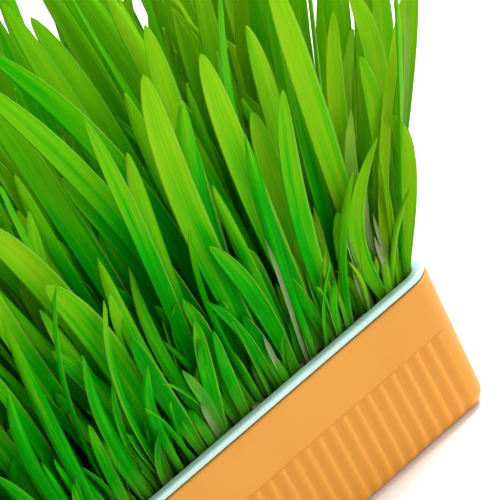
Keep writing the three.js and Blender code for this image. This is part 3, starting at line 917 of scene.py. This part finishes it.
class Blade:
    """One blade's centre line, width and turn."""

    def __init__(self, bed, root, height, width, lean, sag, facing, twist):
        self.root_x, self.root_y = root
        self.root_z = bed.root_z
        self.height = height
        self.width = width
        self.lean_x, self.lean_y = lean
        self.sag_x, self.sag_y = sag
        self.facing = facing
        self.twist = twist
        self.tone = None
        self.dry = 0.0

    def middle(self, at):
        """The centre line, from 0 at the root to 1 at the tip."""
        reach = self.height * at**LEAN_CURVE
        x = self.root_x + self.lean_x * reach + self.sag_x * at**3
        y = self.root_y + self.lean_y * reach + self.sag_y * at**3
        return x, y, self.root_z + self.height * at

    def slices(self, bed, step):
        """Left and right ends of the blade's section at each level above the medium."""
        at, share = np.array([*BLADE_STATIONS, (1.0, 0.0)]).T
        half = share * self.width / 2
        turn = self.facing + self.twist * at
        x, y, z = self.middle(at)
        levels = np.arange(bed.top, z[-1], step)
        ends = []
        for sign in (-1, 1):
            ends.append(np.interp(levels, z, x + sign * half * np.cos(turn)))
            ends.append(np.interp(levels, z, y + sign * half * np.sin(turn)))
        return np.stack(ends, 1)


def drawn_blade(bed, root, random, height_factor=1.0, width_factor=1.0):
    """A blade at a root, from the same draws as in the part."""

    def swing(amount):
        return (2 * random() - 1) * amount

    root = (root[0] + swing(SPOT_JITTER), root[1] + swing(SPOT_JITTER))
    size = bed.size_at(root[1])
    height = size * height_factor * (BLADE_HEIGHT + swing(BLADE_HEIGHT_SPREAD))
    width = size * width_factor * (BLADE_WIDTH + swing(BLADE_WIDTH_SPREAD))
    fan_x, fan_y = bed.fan(*root)
    lean = (fan_x + swing(STRAY_LEAN), fan_y + swing(STRAY_LEAN))
    sag_x = height_factor * (swing(SAG) - fan_x * SAG)
    sag_y = height_factor * (swing(SAG) - fan_y * SAG)
    facing = random() * math.pi * 2
    return Blade(bed, root, height, width, lean, (sag_x, sag_y), facing, swing(TWIST))


def leading_blade(bed, row):
    """A blade from a row of the lists above."""
    x, y, height, width, lean, bow, facing, tone = row
    turn = math.radians(facing)
    leans = (lean, bed.fan(x, y)[1])
    blade = Blade(bed, (x, y), height, width, leans, (bow, 0), turn, LEADING_TWIST)
    blade.tone = tone
    return blade


def side_of(ax, ay, bx, by, px, py):
    """Positive where a point lies to the left of the line from a to b, negative to its right."""
    return (bx - ax) * (py - ay) - (by - ay) * (px - ax)


def point_to_line(px, py, ax, ay, bx, by):
    """Distance from a point to the stretch from a to b."""
    dx, dy = bx - ax, by - ay
    along = ((px - ax) * dx + (py - ay) * dy) / (dx * dx + dy * dy + 1e-12)
    held = np.clip(along, 0, 1)
    return np.hypot(px - ax - held * dx, py - ay - held * dy)


def ends_of(sections):
    """x and y of the sections' left ends, then of their right ends."""
    return [sections[..., number] for number in range(4)]


def crossings(one, many):
    """Where blade one crosses each of many, level by level."""
    a, b = ends_of(one), ends_of(many)
    apart = side_of(*a, *b[:2]) * side_of(*a, *b[2:])
    across = side_of(*b, *a[:2]) * side_of(*b, *a[2:])
    return (apart < 0) & (across < 0)


def nearest(one, many):
    """How near blade one comes to each of many, level by level."""
    a, b = ends_of(one), ends_of(many)
    from_one = [point_to_line(*a[:2], *b), point_to_line(*a[2:], *b)]
    from_many = [point_to_line(*b[:2], *a), point_to_line(*b[2:], *a)]
    return np.minimum.reduce(from_one + from_many)


def extent(sections):
    """The lowest and highest x and y that a blade's sections reach."""
    left, right = sections[:, :2], sections[:, 2:]
    return np.minimum(left, right).min(0), np.maximum(left, right).max(0)


class Crowd:
    """All the blades placed so far, as sections at every step of height, for quick tests."""

    def __init__(self, step):
        self.sections = np.full((BLADES_AT_MOST, int(TALLEST_BLADE / step), 4), np.nan)
        self.low = np.full((BLADES_AT_MOST, 2), np.inf)
        self.high = np.full((BLADES_AT_MOST, 2), -np.inf)
        self.count = 0

    def near(self, sections, margin):
        """The blades whose extent comes within a margin, at the levels that the sections have."""
        low, high = extent(sections)
        here = slice(0, self.count)
        apart = (self.low[here] > high + margin).any(1) | (self.high[here] < low - margin).any(1)
        return self.sections[here][~apart, : len(sections)]

    def clashes(self, sections, clearance):
        """Whether a blade crosses another or comes nearer to it than the clearance."""
        many = self.near(sections, clearance)
        with np.errstate(invalid="ignore"):
            if crossings(sections, many).any():
                return True
            return bool((nearest(sections, many) < clearance).any())

    def crossed(self, sections):
        """At how many levels a blade crosses others."""
        many = self.near(sections, 0.0)
        with np.errstate(invalid="ignore"):
            return int(crossings(sections, many).sum())

    def add(self, sections):
        self.sections[self.count, : len(sections)] = sections
        self.low[self.count], self.high[self.count] = extent(sections)
        self.count += 1


def in_pot(bed, sections, step):
    """Whether a blade stays inside the liner below the top of its rim."""
    height = bed.top + step * np.arange(len(sections))
    low = sections[height < bed.rim_top + SLICE_STEP]
    room = np.array([bed.room_x, bed.room_y] * 2) - BLADE_THICKNESS
    return bool((np.abs(low) < room).all())


def nearest_tuft(bed, tufts, blade):
    """The tuft whose middle is nearest the blade's root."""
    distances = [math.hypot(x - blade.root_x, y - blade.root_y) for x, y in bed.crowns()]
    return tufts[distances.index(min(distances))]


def part_blades(bed):
    """The blades that the part itself has, tuft by tuft."""
    crowd = Crowd(SLICE_STEP)
    crowns = bed.crowns()
    tufts = [[] for _ in crowns]
    for row in LEADING_BLADES:
        blade = leading_blade(bed, row)
        crowd.add(blade.slices(bed, SLICE_STEP))
        nearest_tuft(bed, tufts, blade).append(blade)
    for spot in range(SPOTS_ACROSS * SPOTS_ACROSS):
        off_x = (spot % SPOTS_ACROSS - 1) * SPOT_SPACING
        off_y = (spot // SPOTS_ACROSS - 1) * SPOT_SPACING
        for index, (x, y) in enumerate(crowns):
            for attempt in range(TRIES):
                seed = SEED + attempt + TRIES * (index + len(crowns) * spot)
                blade = drawn_blade(bed, (x + off_x, y + off_y), random_from(seed))
                sections = blade.slices(bed, SLICE_STEP)
                if in_pot(bed, sections, SLICE_STEP) and not crowd.clashes(sections, BLADE_CLEARANCE):
                    crowd.add(sections)
                    tufts[index].append(blade)
                    break
    return tufts


# The fine blades: a thin folded leaf, its section as places across it from one edge to the other,
# along its front and then back behind it.
LEAF_ACROSS = (-1.0, -0.84, -0.42, 0.0, 0.42, 0.84, 1.0)
LEAF_BACK = (0.84, 0.0, -0.84)
LEAF_THICKNESS = 0.3
LEAF_ROWS = 17
TIP_CROWDING = 1.55
FOLD_ROUNDNESS = 1.5
WIDEST_AT = 0.62
ROOT_WIDTH = 0.36
NARROWEST_TIP = 0.06
# Full widths of a thin and a broad blade, and the taper of each one's tip, blunter as it falls.
THIN_BLADE, BROAD_BLADE = 3.0, 7.5
THIN_TAPER, BROAD_TAPER = 0.9, 0.56

# Thinner blades that fill the tufts between the part's own, and short ones along the rim. Heights and
# widths are shares of the part's: the least, and the most that is added to it.
FILL_PER_TUFT = 21
FILL_REACH = 10.4
FILL_HEIGHT = (0.45, 0.45)
FILL_WIDTH = (0.65, 0.4)
FILL_TRIES = 12
FILL_STEP = 4.0
FILL_SEED = 7
FRONT_ZONE = -27.0  # in front of this, fill blades are shorter
FRONT_SIZE = 0.62
RIM_FILL = 110
RIM_FILL_HEIGHT = (0.28, 0.32)
RIM_FILL_WIDTH = (0.35, 0.35)
RIM_FILL_DEPTH = 5.0
RIM_FILL_INSET = 2.2


def leaf_width(at, full_width):
    """Share of the full width along a blade: a stem, broad above, a tip blunter if it is broad."""
    lower = ROOT_WIDTH + (1 - ROOT_WIDTH) * np.sin(np.pi / 2 * np.minimum(at / WIDEST_AT, 1))
    past = np.clip((at - WIDEST_AT) / (1 - WIDEST_AT), 0, 1)
    taper = np.interp(full_width, (THIN_BLADE, BROAD_BLADE), (THIN_TAPER, BROAD_TAPER))
    upper = (1 - past**3) ** taper
    return np.where(at < WIDEST_AT, lower, np.maximum(upper, NARROWEST_TIP))


def leaf_rows():
    """Places along a blade, closer together towards the tip."""
    even = np.linspace(0, 1, LEAF_ROWS)
    return 1 - (1 - even) ** TIP_CROWDING


def leaf_mesh(blade):
    """Points of one blade, ring by ring, with how far along and across each one is."""
    at = leaf_rows()[:, None]
    section = np.array(LEAF_ACROSS + LEAF_BACK)[None, :]
    front = np.arange(section.shape[1])[None, :] < len(LEAF_ACROSS)
    x, y, z = blade.middle(at)
    turn = blade.facing + blade.twist * at
    width = leaf_width(at, blade.width)
    half = blade.width * width / 2
    fold = BLADE_THICKNESS * np.minimum(1, width / ROOT_WIDTH)
    rise = fold * (1 - np.abs(section) ** FOLD_ROUNDNESS)
    rise = rise - np.where(front, 0, LEAF_THICKNESS * (1 - np.abs(section) ** 3))
    x = x + half * section * np.cos(turn) - rise * np.sin(turn)
    y = y + half * section * np.sin(turn) + rise * np.cos(turn)
    points = np.stack([x, y, z + 0 * section], -1)
    along = np.broadcast_to(at, points.shape[:2])
    across = np.broadcast_to(section, points.shape[:2])
    return points.reshape(-1, 3), along.ravel(), across.ravel()


def tuft_piece(name, blades, material, node_names, random):
    """All the leaves of one tuft. A blade with no tone of its own is given one."""
    shapes = []
    layers = {"along": [], "across": [], "tint": [], "dry": []}
    for blade in blades:
        shape, along, across = leaf_mesh(blade)
        drawn_tone = random()
        tone = drawn_tone if blade.tone is None else blade.tone
        shapes.append(shape)
        layers["along"].append(along)
        layers["across"].append(across)
        layers["tint"].append(np.full(len(shape), tone))
        layers["dry"].append(np.full(len(shape), blade.dry))
    points, faces = joined(shapes, ring_faces(LEAF_ROWS, len(LEAF_ACROSS + LEAF_BACK)))
    attributes = {key: np.concatenate(values) for key, values in layers.items()}
    mesh_piece(name, points, faces, material, node_names, attributes)


def add_slender_blades(bed, tufts):
    """Adds each slender blade to the tuft it stands nearest."""
    for *row, dry in SLENDER_BLADES:
        blade = leading_blade(bed, row)
        blade.dry = dry
        nearest_tuft(bed, tufts, blade).append(blade)


def least_tangled(bed, crowd, draw_one):
    """The least entangled of a few blades drawn, or none if all of them cross the liner."""
    best = None
    for _ in range(FILL_TRIES):
        blade = draw_one()
        sections = blade.slices(bed, FILL_STEP)
        if not in_pot(bed, sections, FILL_STEP):
            continue
        tangled = crowd.crossed(sections)
        if best is None or tangled < best[0]:
            best = (tangled, blade, sections)
        if tangled == 0:
            break
    if best is None:
        return None
    crowd.add(best[2])
    return best[1]


def rim_root(bed, random):
    """A place just inside the liner, anywhere round it."""
    inset = RIM_FILL_INSET + RIM_FILL_DEPTH * random()
    reach_x, reach_y = bed.room_x - inset, bed.room_y - inset
    side = 1 if random() < 0.5 else -1
    if random() * (reach_x + reach_y) < reach_x:
        return reach_x * (2 * random() - 1), side * reach_y
    return side * reach_x, reach_y * (2 * random() - 1)


def add_fill_blades(bed, tufts):
    """Adds thinner blades to every tuft, then short ones round the rim."""
    crowd = Crowd(FILL_STEP)
    for blade in sum(tufts, []):
        crowd.add(blade.slices(bed, FILL_STEP))
    random = random_from(FILL_SEED)

    def share(limits):
        return limits[0] + limits[1] * random()

    def tuft_blade(x, y):
        root = (x + (2 * random() - 1) * FILL_REACH, y + (2 * random() - 1) * FILL_REACH)
        height = share(FILL_HEIGHT)
        if root[1] < FRONT_ZONE:
            height *= FRONT_SIZE
        return drawn_blade(bed, root, random, height, share(FILL_WIDTH))

    def rim_blade():
        height, width = share(RIM_FILL_HEIGHT), share(RIM_FILL_WIDTH)
        return drawn_blade(bed, rim_root(bed, random), random, height, width)

    for _ in range(FILL_PER_TUFT):
        for (x, y), tuft in zip(bed.crowns(), tufts):
            blade = least_tangled(bed, crowd, lambda: tuft_blade(x, y))
            if blade:
                tuft.append(blade)
    for _ in range(RIM_FILL):
        blade = least_tangled(bed, crowd, rim_blade)
        if blade:
            nearest_tuft(bed, tufts, blade).append(blade)


def make_grass(bed, material):
    """One piece for each of the part's tufts, with the part's own blades and the finer ones."""
    tufts = part_blades(bed)
    add_slender_blades(bed, tufts)
    add_fill_blades(bed, tufts)
    random = random_from(SEED)
    for number, blades in enumerate(tufts, 1):
        node = f"grass_tuft_{number:02d}"
        tuft_piece(f"{node}_blades", blades, material, [node], random)


# ---------- making the object


def set_colours():
    """Plain display colours, so that the greens stay as saturated as the leaf's own."""
    settings = bpy.context.scene.view_settings
    settings.view_transform = "Standard"
    settings.look = "None"


def main():
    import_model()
    make_camera()
    set_colours()
    make_lights()
    make_floor()
    make_tub(tub_plastic())
    make_liner(liner_plastic())
    bed = Bed()
    soil = Soil(bed)
    make_medium(soil, soil_material())
    make_grains(bed, soil, grain_material())
    make_rootlets(bed, soil, rootlet_material())
    make_grass(bed, grass_material())


main()
